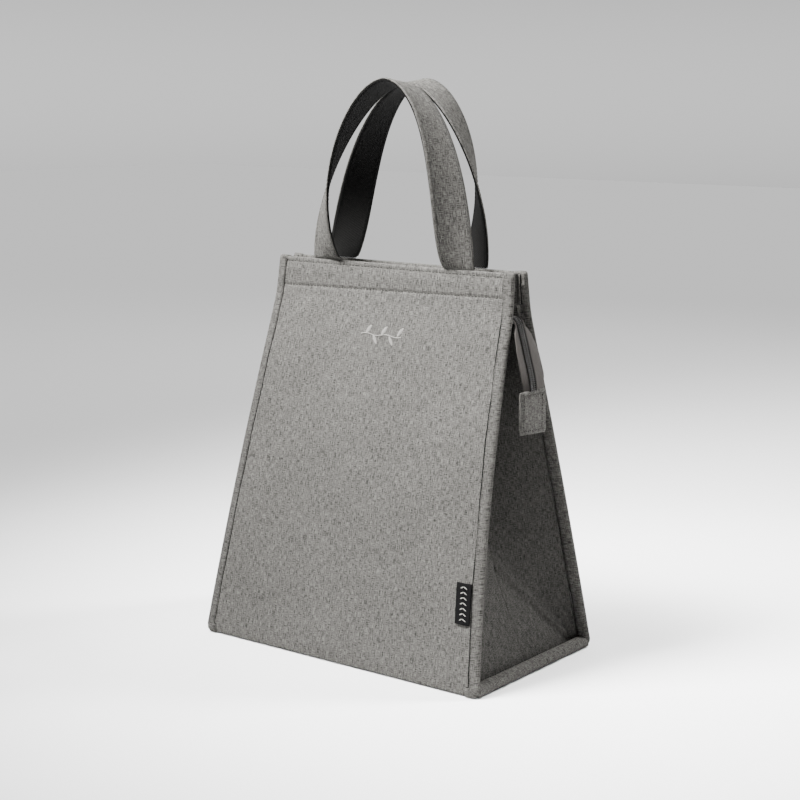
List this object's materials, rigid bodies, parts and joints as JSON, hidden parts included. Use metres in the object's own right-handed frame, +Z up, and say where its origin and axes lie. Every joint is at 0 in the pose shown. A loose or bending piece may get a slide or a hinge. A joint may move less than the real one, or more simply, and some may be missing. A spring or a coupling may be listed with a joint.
{
  "type": "insulated lunch bag",
  "caption": "Tapered heather grey cloth lunch bag with foil lining, folded side gussets, bound edges, a recessed zip and upright strap handles.",
  "frame": {"origin": "middle of the base's underside, on the floor that the bag stands on", "axes": "+Z up, front panel faces -Y, +X to the right seen from the front, on the side where the zip's tail hangs out"},
  "size_m": [0.2528, 0.1524, 0.418],
  "materials": {
    "heather_cloth": "heathered plain weave, grey",
    "binding_cloth": "heathered plain weave, grey, folded binding",
    "webbing": "black flat webbing",
    "zip_tape": "warm grey woven tape",
    "zip_coil": "dark nylon coil",
    "zip_metal": "dark grey satin",
    "foil_lining": "silver film",
    "foam": "white foam",
    "stiffener": "black sheet",
    "label_satin": "black satin weave",
    "thread": "light thread"
  },
  "bodies": {
    "base": {"base_cloth": "heather_cloth", "base_board": "stiffener", "base_foam": "foam", "base_lining": "foil_lining", "left_base_binding": "binding_cloth", "right_base_binding": "binding_cloth", "left_gusset_cloth": "heather_cloth", "left_gusset_foam": "foam", "left_gusset_lining": "foil_lining", "right_gusset_cloth": "heather_cloth", "right_gusset_foam": "foam", "right_gusset_lining": "foil_lining", "left_mouth_strip": "heather_cloth", "right_mouth_strip": "heather_cloth", "zip_exit_tapes": "zip_tape", "zip_exit_coil": "zip_coil"},
    "front_panel": {"front_cloth": "heather_cloth", "front_foam": "foam", "front_lining": "foil_lining", "front_facing": "heather_cloth", "front_stiffener": "stiffener", "front_left_binding": "binding_cloth", "front_right_binding": "binding_cloth", "front_zip_tape": "zip_tape", "front_coil": "zip_coil", "front_top_stop": "zip_metal", "front_handle_feet": "heather_cloth", "front_motif": "thread"},
    "back_panel": {"back_cloth": "heather_cloth", "back_foam": "foam", "back_lining": "foil_lining", "back_facing": "heather_cloth", "back_stiffener": "stiffener", "back_left_binding": "binding_cloth", "back_right_binding": "binding_cloth", "back_zip_tape": "zip_tape", "back_coil": "zip_coil", "back_top_stop": "zip_metal", "back_handle_feet": "heather_cloth"},
    "front_handle": {"front_handle_cloth": "heather_cloth", "front_handle_webbing": "webbing"},
    "back_handle": {"back_handle_cloth": "heather_cloth", "back_handle_webbing": "webbing"},
    "zip_slider": {"slider": "zip_metal"},
    "zip_pull": {"slider_pull": "zip_metal"},
    "zip_tail": {"tail_tapes": "zip_tape", "tail_coil": "zip_coil", "tail_bottom_stop": "zip_metal", "tail_tab": "heather_cloth"},
    "woven_label": {"side_label": "label_satin"}
  },
  "joints": [
    {"name": "front_panel_fold", "type": "hinge", "parent": "base", "child": "front_panel", "pos_m": [0, -0.0754, 0], "axis": [1, 0, 0], "range_deg": [0, 8]},
    {"name": "back_panel_fold", "type": "hinge", "parent": "base", "child": "back_panel", "pos_m": [0, 0.0754, 0], "axis": [-1, 0, 0], "range_deg": [0, 8]},
    {"name": "front_handle_fold", "type": "hinge", "parent": "front_panel", "child": "front_handle", "pos_m": [0, -0.0099, 0.2857], "axis": [1, 0, 0], "range_deg": [0, 120]},
    {"name": "back_handle_fold", "type": "hinge", "parent": "back_panel", "child": "back_handle", "pos_m": [0, 0.0099, 0.2857], "axis": [-1, 0, 0], "range_deg": [0, 120]},
    {"name": "zip_slide", "type": "slide", "parent": "back_panel", "child": "zip_slider", "axis": [1, 0, 0], "range_m": [0, 0.146]},
    {"name": "pull_swing", "type": "hinge", "parent": "zip_slider", "child": "zip_pull", "pos_m": [-0.088, 0, 0.2573], "axis": [0, -1, 0], "range_deg": [0, 105]},
    {"name": "tail_swing", "type": "hinge", "parent": "base", "child": "zip_tail", "pos_m": [0.10015, 0, 0.25415], "axis": [0, -1, 0], "range_deg": [0, 75]},
    {"name": "label_fold", "type": "hinge", "parent": "front_panel", "child": "woven_label", "pos_m": [0.1138, -0.06779, 0.048], "axis": [-0.0855, 0.2033, 0.9754], "range_deg": [0, 80]}
  ]
}
